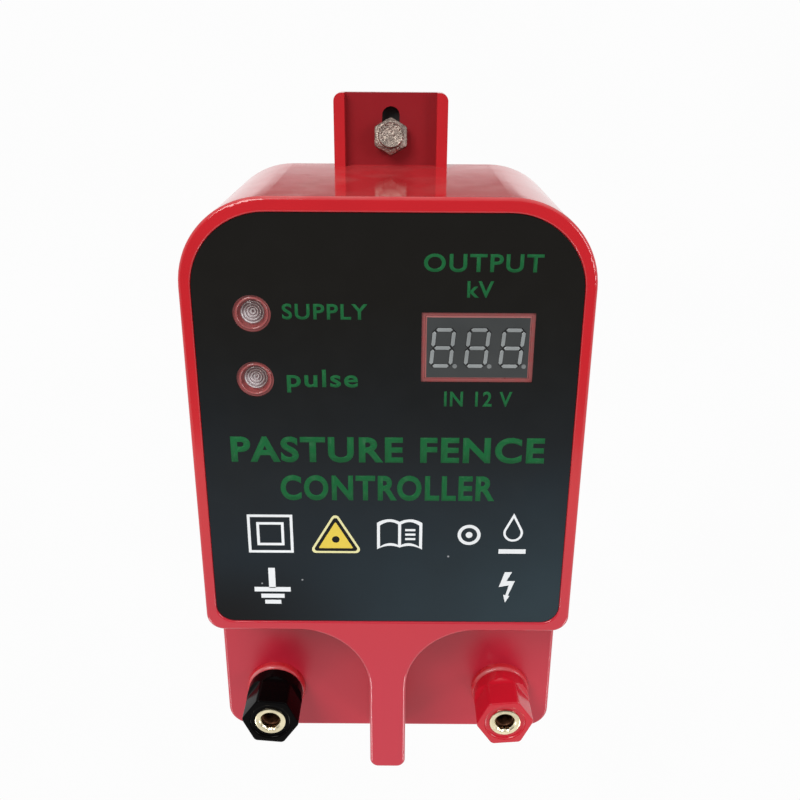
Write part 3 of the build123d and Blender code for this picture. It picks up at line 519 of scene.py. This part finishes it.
def curve_mesh(name, curve):
    """A filled curve turned into a mesh object."""
    holder = bpy.data.objects.new(name + "_curve", curve)
    bpy.context.scene.collection.objects.link(holder)
    bpy.context.view_layer.update()
    data = bpy.data.meshes.new_from_object(holder.evaluated_get(bpy.context.evaluated_depsgraph_get()))
    bpy.data.objects.remove(holder)
    data.name = name
    piece = bpy.data.objects.new(name, data)
    bpy.context.scene.collection.objects.link(piece)
    return piece


# ------------------------------------------------------------------ printing on the label

INK = 0.02 * MM  # the thickness of a layer of print


def panel_point(x, z, layer):
    """A point of the print. x and z are millimetres from the middle and the case's bottom."""
    return Vector((x * MM, LABEL_FRONT - layer * INK, CASE_BOTTOM + z * MM))


def printed_shape(name, loops, x, z, material, layer=1):
    """Filled outlines in millimetres round (x, z). An outline inside another cuts a hole in it."""
    curve = bpy.data.curves.new(name, "CURVE")
    curve.dimensions = "2D"
    curve.fill_mode = "BOTH"
    curve.extrude = INK / 2
    for loop in loops:
        spline = curve.splines.new("POLY")
        spline.points.add(len(loop) - 1)
        for point, (px, pz) in zip(spline.points, loop):
            point.co = (px * MM, pz * MM, 0, 1)
        spline.use_cyclic_u = True
    piece = curve_mesh(name, curve)
    place_print(piece, x, z, layer)
    return finish_piece(piece, "case", material)


def place_print(piece, x, z, layer):
    """Stands a flat mesh up on the label's face."""
    origin = panel_point(x, z, layer)
    upright = Matrix.Rotation(radians(90), 4, "X")
    piece.data.transform(Matrix.Translation(origin + Vector((0, INK / 2, 0))) @ upright)


def printed_text(name, words, x, z, width, height, bold):
    """Plain lettering centred on x and standing on z, stretched to a width and height in millimetres."""
    curve = bpy.data.curves.new(name, "FONT")
    curve.body = words
    curve.size = 1.0
    curve.offset = bold
    curve.resolution_u = 6
    curve.space_character = 1.12
    piece = curve_mesh(name, curve)
    xs = [v.co.x for v in piece.data.vertices]
    ys = [v.co.y for v in piece.data.vertices]
    scale_x = width * MM / (max(xs) - min(xs))
    scale_y = height * MM / (max(ys) - min(ys))
    for v in piece.data.vertices:
        v.co = ((v.co.x - (max(xs) + min(xs)) / 2) * scale_x, (v.co.y - min(ys)) * scale_y, 0)
    solid = piece.modifiers.new("ink", "SOLIDIFY")
    solid.thickness = INK
    place_print(piece, x, z, 1)
    return finish_piece(piece, "case", print_green)


def rectangle(width, height, x=0.0, z=0.0):
    w, h = width / 2, height / 2
    return [(x - w, z - h), (x + w, z - h), (x + w, z + h), (x - w, z + h)]


def circle(radius, x=0.0, z=0.0, steps=40):
    turns = [2 * pi * i / steps for i in range(steps)]
    return [(x + radius * cos(turn), z + radius * sin(turn)) for turn in turns]


def rounded_triangle(side, radius, z=0.0, steps=8):
    """An upright equilateral triangle with round corners, its own middle at (0, z)."""
    reach = side / sqrt(3) - 2 * radius
    points = []
    for corner in range(3):
        heading = pi / 2 + corner * 2 * pi / 3
        for i in range(steps + 1):
            turn = heading - pi / 3 + (2 * pi / 3) * i / steps
            points.append((
                reach * cos(heading) + radius * cos(turn), z + reach * sin(heading) + radius * sin(turn)
            ))
    return points


def bowed(start, end, bow, steps=10):
    """Points from start to end along a shallow bow that rises by bow in the middle."""
    points = []
    for i in range(steps + 1):
        t = i / steps
        rise = bow * 4 * t * (1 - t)
        points.append((start[0] + (end[0] - start[0]) * t, start[1] + (end[1] - start[1]) * t + rise))
    return points


def print_label():
    """All the print: the words in green, then the row of symbols, then the two terminal symbols."""
    words = [
        ("supply", "SUPPLY", -13.4, 122.3, 18.2, 3.5, 0.02),
        ("pulse", "pulse", -14.3, 105.6, 15.6, 5.4, 0.02),
        ("output", "OUTPUT", 20.0, 132.8, 25.0, 3.9, 0.02),
        ("unit", "kV", 19.5, 127.3, 5.6, 3.6, 0.02),
        ("input", "IN 12 V", 19.9, 102.5, 15.0, 3.6, 0.02),
        ("title_upper", "PASTURE FENCE", 0.0, 88.6, 70.8, 6.4, 0.035),
        ("title_lower", "CONTROLLER", 0.0, 78.9, 49.2, 6.5, 0.035),
    ]
    for name, text, x, z, width, height, bold in words:
        printed_text(f"print_{name}", text, x, z, width, height, bold)
    icon_z = 70.0
    squares = [rectangle(10.6, 10.2), rectangle(9.3, 8.9), rectangle(6.4, 6.2), rectangle(5.1, 4.9)]
    printed_shape("print_double_square", squares, -27.5, icon_z, print_white)
    triangle_x, middle = -12.2, -1.4
    fill = [rounded_triangle(8.2, 0.2, middle), circle(0.9, 0, middle)]
    edge, line = [rounded_triangle(12.8, 1.0, middle)], [rounded_triangle(10.9, 0.6, middle)]
    printed_shape("print_triangle_edge", edge, triangle_x, icon_z, print_pale_yellow)
    printed_shape("print_triangle_line", line, triangle_x, icon_z, print_black, 2)
    printed_shape("print_triangle_fill", fill, triangle_x, icon_z, print_yellow, 3)
    book_x = 2.8
    lines = [rectangle(2.4, 0.55, 2.5, line_z) for line_z in (1.2, 0, -1.2)]
    printed_shape("print_book", book_loops(10.6, 7.4, 0.7), book_x, icon_z - 0.3, print_white)
    printed_shape("print_book_lines", lines, book_x, icon_z, print_white)
    printed_shape("print_ring", [circle(2.7), circle(1.9), circle(0.8)], 19.1, icon_z, print_white)
    drop_x = 29.4
    printed_shape("print_drop", drop_loops(2.3, 5.2, 0.55), drop_x, icon_z + 0.6, print_white)
    printed_shape("print_drop_bar", [rectangle(6.4, 1.2)], drop_x, icon_z - 4.4, print_white)
    earth = {
        "stem": rectangle(1.6, 5.6, 0, 2.3),
        "long_bar": rectangle(8.7, 1.25, 0, -0.9),
        "middle_bar": rectangle(5.6, 1.15, 0, -2.75),
        "short_bar": rectangle(3.9, 1.1, 0, -4.45),
    }
    for part, loop in earth.items():
        printed_shape(f"print_earth_{part}", [loop], -27.7, 55.6, print_white)
    printed_shape("print_bolt_arrow", [BOLT_ARROW], 28.6, 59.9, print_white)


def book_loops(width, height, line):
    """An open book: its outline and the two pages cut out of it."""
    w, h, rise = width / 2, height / 2, 0.8
    outline = (
        bowed((-w, -h), (0, -h + 0.5), 0.7) + bowed((0, -h + 0.5), (w, -h), 0.7)[1:]
        + bowed((w, h - 0.3), (0, h), rise) + bowed((0, h), (-w, h - 0.3), rise)[1:]
    )
    pages = []
    for side in (-1, 1):
        inner, outer = side * line / 2, side * (w - line)
        low = bowed((inner, -h + 0.5 + line), (outer, -h + line), 0.7)
        high = bowed((outer, h - 0.3 - line), (inner, h - line), rise)
        pages.append(low + high)
    return [outline] + pages


def drop_loops(radius, height, line):
    """A water drop: its outline and the hollow inside it."""
    def drop(r, tip):
        lean = asin(r / tip)
        arc = [(r * cos(a), r * sin(a)) for a in [lean - (pi + 2 * lean) * i / 28 for i in range(29)]]
        return arc + [(0, tip)]
    return [drop(radius, height), drop(radius - line, height - 2.2 * line)]


# A lightning stroke that ends in an arrow head, in millimetres from its top's middle
BOLT_ARROW = [
    (-0.6, 0.0), (1.1, 0.0), (-0.1, -2.5), (1.9, -2.5), (0.4, -6.6), (0.8, -6.7),
    (-0.2, -8.6), (-0.7, -6.4), (-0.2, -6.5), (0.5, -3.7), (-1.9, -4.2),
]


# ------------------------------------------------------------------ display

def segment_loops(width, height, thickness, gap):
    """The seven bars of one digit, each a bar with pointed ends, upright and centred on (0, 0)."""
    w, h, t = width / 2 - thickness / 2, height / 2 - thickness / 2, thickness / 2
    level = [(-w, h, w, h), (-w, 0, w, 0), (-w, -h, w, -h)]
    upright = [(-w, 0, -w, h), (w, 0, w, h), (-w, -h, -w, 0), (w, -h, w, 0)]
    loops = []
    for x0, z0, x1, _ in level:
        x0, x1 = x0 + gap, x1 - gap
        loops.append([
            (x0, z0), (x0 + t, z0 + t), (x1 - t, z0 + t), (x1, z0), (x1 - t, z0 - t), (x0 + t, z0 - t)
        ])
    for x0, z0, _, z1 in upright:
        z0, z1 = z0 + gap, z1 - gap
        loops.append([
            (x0, z0), (x0 + t, z0 + t), (x0 + t, z1 - t), (x0, z1), (x0 - t, z1 - t), (x0 - t, z0 + t)
        ])
    return loops


def add_display_shell(low, high, chamfer):
    """The display's body, its front edges chamfered and reddish. It fills the gap round the CAD body."""
    middle = (high + low) / 2
    gap = 0.1 * MM
    body_half_width, body_half_height = (high.x - low.x) / 2 + gap, (high.z - low.z) / 2 + gap
    mesh = bmesh.new()
    loops = []
    for y, inset in ((high.y, 0.0), (low.y + chamfer, 0.0), (low.y, chamfer)):
        w, h = body_half_width - inset, body_half_height - inset
        corners = ((-w, -h), (w, -h), (w, h), (-w, h))
        loops.append([mesh.verts.new((middle.x + x, y, middle.z + z)) for x, z in corners])
    for near, far in zip(loops, loops[1:]):
        for i in range(4):
            j = (i + 1) % 4
            mesh.faces.new((near[i], near[j], far[j], far[i]))
    mesh.faces.new(loops[0])
    mesh.faces.new(loops[-1])
    shell = mesh_object("display_shell", mesh, 20)
    finish_piece(shell, "case", paint["display_body"], ["display_module"])
    shell.data.materials.append(display_edge)
    for face in shell.data.polygons:
        if abs(face.normal.y) < 0.95 and face.center.y < low.y + chamfer:
            face.material_index = 1


def add_display():
    """The display: a moulded shell filled flush with grey epoxy, its unlit bars and points just proud."""
    low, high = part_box("display_module")
    add_display_shell(low, high, chamfer=0.3 * MM)
    middle = (high + low) / 2
    slant, pitch = 0.085, 7.5
    for digit in range(3):
        place = (middle.x + (pitch * (digit - 1) - 0.1) * MM, low.y, middle.z - 0.05 * MM)
        for number, loop in enumerate(segment_loops(5.0, 9.0, 0.82, 0.30)):
            slanted = [(x + slant * z, z) for x, z in loop]
            bar_name = f"digit_{digit + 1}_bar_{number + 1}"
            raised_bar(bar_name + "_bed", grown(slanted, 0.30), place, 0.01, segment_edge)
            raised_bar(bar_name, slanted, place, 0.07, segment_grey)
        raised_bar(f"digit_{digit + 1}_point", circle(0.5, 2.75, -4.15, 28), place, 0.03, point_grey)


def grown(loop, margin):
    """The outline pushed out from its own middle by about a margin."""
    middle_x = sum(x for x, _ in loop) / len(loop)
    middle_z = sum(z for _, z in loop) / len(loop)
    points = []
    for x, z in loop:
        away = sqrt((x - middle_x) ** 2 + (z - middle_z) ** 2)
        points.append((x + margin * (x - middle_x) / away, z + margin * (z - middle_z) / away))
    return points


def raised_bar(name, loop, place, height, material):
    """One light bar of the display: a low pad on its face, its edge chamfered."""
    x, face_y, z = place
    mesh = bmesh.new()
    verts = [mesh.verts.new((x + px * MM, face_y, z + pz * MM)) for px, pz in loop]
    face = mesh.faces.new(verts)
    raised = bmesh.ops.extrude_face_region(mesh, geom=[face])["geom"]
    top = [v for v in raised if isinstance(v, bmesh.types.BMVert)]
    bmesh.ops.translate(mesh, verts=top, vec=(0, -height * MM, 0))
    top_faces = [f for f in raised if isinstance(f, bmesh.types.BMFace)]
    bmesh.ops.inset_region(mesh, faces=top_faces, thickness=0.15 * MM, depth=0.0)
    crown = [v for f in top_faces for v in f.verts]
    bmesh.ops.translate(mesh, verts=crown, vec=(0, -1.6 * height * MM, 0))
    piece = mesh_object(name, mesh, 20)
    return finish_piece(piece, "case", material)


# ------------------------------------------------------------------ lamps

def bead_rings(depth, radius, depth_reach, radius_reach, steps):
    """The closed section of a round ridge, as (depth, radius)."""
    turns = [2 * pi * i / steps for i in range(steps)]
    return [(depth + depth_reach * sin(turn), (radius + radius_reach * cos(turn)) * MM) for turn in turns]


def add_lamp(node):
    """A clear lamp: a low domed lens over a cup with bright round ridges, and the post of its bond wire."""
    low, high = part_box(node)
    centre = ((low.x + high.x) / 2, (low.z + high.z) / 2)
    tip = -low.y
    foot = tip - 8.6 * MM
    radius, flange = 2.7 * MM, 2.9 * MM
    dome = 0.7 * MM
    rings = [(foot, 0.3 * MM), (foot, 2.85 * MM), (foot + 0.15 * MM, flange), (foot + 0.85 * MM, flange)]
    rings += [(foot + 1.0 * MM, 2.8 * MM), (foot + 1.05 * MM, radius)]
    steps = 20
    for i in range(steps):
        r = radius * (1 - (i / steps) ** 1.5)
        rings.append((tip - dome * (r / radius) ** 2, r))
    lens = turned(f"{node}_lens", rings, centre, 72)
    finish_piece(lens, "case", paint["clear_lens"], [node])

    # Cup and beads both carry a painted highlight towards their lower left; on the beads it is near white.
    cup_brown = reflector(f"{node}_cup", (0.13, 0.065, 0.065), (0.30, 0.22, 0.23), centre, 0.3)
    beads_painted_highlight = reflector(f"{node}_beads", (0.36, 0.28, 0.27), (0.97, 0.93, 0.94), centre, 0.12)
    cup_front = tip - dome - 0.25 * MM
    cup_depth, cup_mouth = 0.9 * MM, 2.56
    cup_rings = [(cup_front - 2.2 * MM, 0.3 * MM), (cup_front - 2.2 * MM, 2.62 * MM), (cup_front, 2.62 * MM)]
    cup_rings += [(cup_front, cup_mouth * MM), (cup_front - cup_depth, 0.1 * MM)]
    cup = turned(f"{node}_cup", cup_rings, centre, 64)
    finish_piece(cup, "case", cup_brown)
    for number, bead_radius in enumerate((0.50, 1.08, 1.70, 2.36)):
        seat = cup_front - cup_depth + cup_depth * bead_radius / cup_mouth
        bead = bead_rings(seat + 0.04 * MM, bead_radius, 0.14 * MM, 0.14, 10)
        ring = turned(f"{node}_ring_{number + 1}", bead, centre, 64, closed=True, smooth_angle=60)
        finish_piece(ring, "case", beads_painted_highlight)

    rim_section = bead_rings(-LABEL_BACK + 0.05 * MM, 3.40, 0.22 * MM, 0.24, 16)
    rim = turned(f"{node}_rim", rim_section, centre, 96, closed=True, smooth_angle=60)
    finish_piece(rim, "case", rim_red)
    post_rings = [(foot, 0.3 * MM), (foot + 3.5 * MM, 0.3 * MM), (foot + 3.6 * MM, 0.2 * MM)]
    post = turned(f"{node}_post", post_rings, (centre[0] + 1.27 * MM, centre[1]), 20)
    finish_piece(post, "case", paint["tinned_steel"])


# ------------------------------------------------------------------ terminals

def hexagon(flats, corner=0.25 * MM, turned_by=0.0):
    """The radius of a hexagon with flats above and below, its corners eased, as a function of the angle."""
    def radius(angle):
        turn = (angle - turned_by) % (pi / 3) - pi / 6
        sharp = flats / 2 / cos(turn)
        tip = flats / sqrt(3) - corner
        return min(sharp, tip + (sharp - tip) * 0.25) if sharp > tip else sharp
    return radius


def smaller(first, second):
    """The smaller of two radii, each a number or a function of the angle."""
    def radius(angle):
        values = [r(angle) if callable(r) else r for r in (first, second)]
        return min(values)
    return radius


def add_cap(name, centre, cap_turn):
    """A screw-down cap: round behind, hexagonal in front, with a round dish in its face."""
    back, front = depths(f"{name}_cap")
    round_radius = half_width(f"{name}_cap")
    flats = 13.0 * MM
    rear_edge, front_edge = 0.35 * MM, 0.35 * MM
    rear_bore, seat_bore = 5.2 * MM, 4.02 * MM
    rings = [(back, rear_bore)]
    for i in range(7):
        turn = (pi / 2) * i / 6
        rings.append((back + rear_edge * (1 - cos(turn)), round_radius - rear_edge * (1 - sin(turn))))
    shoulder, ramp = front - 8.9 * MM, 1.5 * MM
    rings.append((shoulder, round_radius))
    ramp_steps = 8
    for i in range(1, ramp_steps + 1):
        share = i / ramp_steps
        width = flats + (2 * round_radius - flats) * (1 - sin(share * pi / 2))
        rings.append((shoulder + ramp * share, smaller(round_radius, hexagon(width, turned_by=cap_turn))))
    rings.append((front - front_edge, smaller(round_radius, hexagon(flats, turned_by=cap_turn))))
    for i in range(1, 5):
        turn = (pi / 2) * i / 4
        inset = front_edge * (1 - cos(turn))
        outline = smaller(round_radius - inset, hexagon(flats - 2 * inset, turned_by=cap_turn))
        rings.append((front - front_edge + front_edge * sin(turn), outline))
    dish_depth, dish_steps = 0.6 * MM, 6
    for i in range(dish_steps + 1):
        turn = (pi / 2) * i / dish_steps
        rings.append((front - dish_depth * sin(turn), 5.35 * MM - 0.75 * MM * (1 - cos(turn))))
    bore_end = back + 0.85 * MM
    rings += [(front - dish_depth, seat_bore), (bore_end, seat_bore), (bore_end, rear_bore)]
    slot_name = "black_terminal" if name == "earth" else "red_terminal"
    cap = turned(f"{name}_cap_moulding", rings, centre, 180, closed=True, smooth_angle=28)
    finish_piece(cap, f"{name}_knob", paint[slot_name], [f"{name}_cap"])


def add_collar(name, centre):
    """The fixed collar behind a cap, its outer edge rounded."""
    back, front = depths(f"{name}_collar")
    radius = half_width(f"{name}_collar")
    stand, rounding = front - 2.1 * MM, 1.2 * MM
    bore, spigot = 3.1 * MM, 4.2 * MM
    rings = [(back, bore), (back, spigot), (stand, spigot), (stand, radius)]
    for i in range(9):
        turn = (pi / 2) * i / 8
        rings.append((front - rounding * (1 - sin(turn)), radius - rounding * (1 - cos(turn))))
    rings.append((front, bore))
    collar = turned(f"{name}_collar_ring", rings, centre, 144, closed=True, smooth_angle=30)
    finish_piece(collar, "case", collar_red, [f"{name}_collar"])


def notched(radius, depth):
    """A bore with two bites in its lower side, where the driver has slipped."""
    half_bite = radians(12)

    def value(angle):
        bite = 0.0
        for middle in (radians(250), radians(290)):
            away = abs((angle - middle + pi) % (2 * pi) - pi)
            bite = max(bite, 1 - away / half_bite) if away < half_bite else bite
        return radius + depth * min(1.0, 2 * bite)
    return value


def add_insert(name, centre):
    """The brass insert in a cap: a bored sleeve with a worn mouth."""
    back, front = depths(f"{name}_cap_insert")
    bore, outer = 3.05 * MM, 3.98 * MM
    lip = notched(2.4 * MM, 0.25 * MM)
    rings = [
        (back, bore), (back, 3.7 * MM), (back + 0.2 * MM, outer), (front - 0.25 * MM, outer),
        (front - 0.08 * MM, 3.92 * MM), (front, 3.72 * MM), (front, notched(2.85 * MM, 0.22 * MM)),
        (front - 0.1 * MM, notched(2.68 * MM, 0.22 * MM)), (front - 0.45 * MM, lip),
        (front - 1.3 * MM, lip), (front - 1.32 * MM, bore),
    ]
    insert = turned(f"{name}_insert_brass", rings, centre, 144, closed=True, smooth_angle=30)
    finish_piece(insert, f"{name}_knob", paint["brass"], [f"{name}_cap_insert"])


def add_stud(name, centre):
    """A terminal's threaded stud, with the 4 mm socket in its front end."""
    back, front = depths(f"{name}_stud")
    pitch, ridge, outer = 1.0 * MM, 0.28 * MM, 2.99 * MM

    def threaded(depth):
        def radius(angle):
            phase = (depth / pitch - angle / (2 * pi)) % 1.0
            return outer - ridge * min(1.0, 1.3 * abs(2 * phase - 1))
        return radius

    rings = [(back, 2.3 * MM)]
    steps_per_turn = 8
    count = int((front - back - 1.0 * MM) / pitch * steps_per_turn)
    for i in range(count + 1):
        depth = back + 0.5 * MM + i * pitch / steps_per_turn
        rings.append((depth, threaded(depth)))
    socket_radius = 2.0 * MM
    bottom = front - 14.0 * MM
    rings += [(front - 0.25 * MM, 2.7 * MM), (front, 2.5 * MM), (front, 2.2 * MM)]
    rings += [(front - 0.2 * MM, socket_radius), (bottom, socket_radius), (bottom - 0.9 * MM, 0.15 * MM)]
    stud = turned(f"{name}_threaded_stud", rings, centre, 96, smooth_angle=50)
    finish_piece(stud, "case", brass_in_painted_shade, [f"{name}_stud"])


def add_terminal(name, cap_turn):
    """The cap, its brass insert, the fixed collar and the stud of one terminal."""
    socket = mounts[f"{name}_socket"]
    centre = (socket.x, socket.z)
    add_cap(name, centre, cap_turn)
    add_collar(name, centre)
    add_insert(name, centre)
    add_stud(name, centre)


# ------------------------------------------------------------------ hanging screw

def add_hanging_screw():
    """A hex-head wood screw: chamfered head with a rough face, a plain neck, a coarse thread and a point."""
    low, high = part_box("hanging_screw")
    axis_z = (low.z + high.z) / 2
    flats = high.x - low.x
    tip, head_front = depths("hanging_screw")
    head_back = head_front - 3.8 * MM
    shank, neck, face = 2.0 * MM, 1.75 * MM, 3.25 * MM
    pitch, ridge = 1.75 * MM, 0.6 * MM
    thread_start = head_back - 6.0 * MM

    def threaded(depth, outer):
        def radius(angle):
            phase = (depth / pitch - angle / (2 * pi)) % 1.0
            crest = max(0.0, 1 - abs(2 * phase - 1) * 2.2)
            return outer - ridge * min(1.0, outer / shank) * (1 - crest)
        return radius

    rings = [(tip, 0.05 * MM)]
    steps_per_turn = 12
    length = thread_start - tip
    count = int(length / pitch * steps_per_turn)
    for i in range(1, count + 1):
        depth = tip + length * i / count
        outer = min(shank, 0.25 * MM + (depth - tip) * tan(radians(22)))
        rings.append((depth, threaded(depth, outer)))
    rings += [(thread_start + 0.2 * MM, neck), (head_back - 0.4 * MM, neck), (head_back, shank)]
    hexed = hexagon(flats, 0.12 * MM)
    corners = flats / sqrt(3)
    rings += [(head_back, smaller(hexed, flats / 2 - 0.05 * MM))]
    rings += [(head_back + 0.25 * MM, smaller(hexed, corners - 0.2 * MM)), (head_back + 0.4 * MM, hexed)]
    chamfer_steps, chamfer = 6, 0.7 * MM
    boss_back = head_front - 0.9 * MM
    for i in range(chamfer_steps + 1):
        share = i / chamfer_steps
        cone = corners + (face - corners) * share
        rings.append((boss_back - chamfer * (1 - share), smaller(hexed, cone)))
    boss = face - 0.1 * MM
    rings += [(boss_back, boss), (head_front - 0.25 * MM, boss), (head_front, face - 0.3 * MM)]
    rings += [(head_front - 0.12 * MM, face - 0.6 * MM), (head_front - 0.15 * MM, 0.2 * MM)]
    screw = turned("hanging_screw_threaded", rings, (0, 0), 144, smooth_angle=30)
    # The screw leans head up about a point in the tab's slot, and its corners point up and down
    lean = Matrix.Rotation(radians(-16), 4, "X") @ Matrix.Rotation(radians(30), 4, "Y")
    hub = Matrix.Translation((0, -6.0 * MM, 0))
    screw.data.transform(Matrix.Translation((0, -0.5 * MM, axis_z)) @ hub @ lean @ hub.inverted())
    finish_piece(screw, "wall_screw", paint["zinc_screw"], ["hanging_screw"])


add_camera()
set_world()
add_backdrop()
target = (0, CASE_FRONT / 2, (CASE_TOP + CASE_BOTTOM) / 2)
area_light("key", (-0.45, -0.75, 0.60), target, (0.55, 0.45), 7.0, (1.0, 0.98, 0.96))
area_light("fill", (0.70, -0.55, 0.15), target, (0.28, 0.34), 2.2, (0.95, 0.97, 1.0))
for side in (-1, 1):
    area_light(f"low_side_{side + 1}", (side * 0.24, -0.22, -0.38), (0, -0.05, -0.10), (0.07, 0.09), 0.2)
print_label()
add_display()
for lamp_node in ("power_led", "pulse_led"):
    add_lamp(lamp_node)
# Each cap has stopped a little turned from having its flats level
for terminal_name, cap_degrees in (("earth", -5.5), ("fence", 5.0)):
    add_terminal(terminal_name, radians(cap_degrees))
add_hanging_screw()

scene = bpy.context.scene
scene.view_settings.view_transform = "Standard"
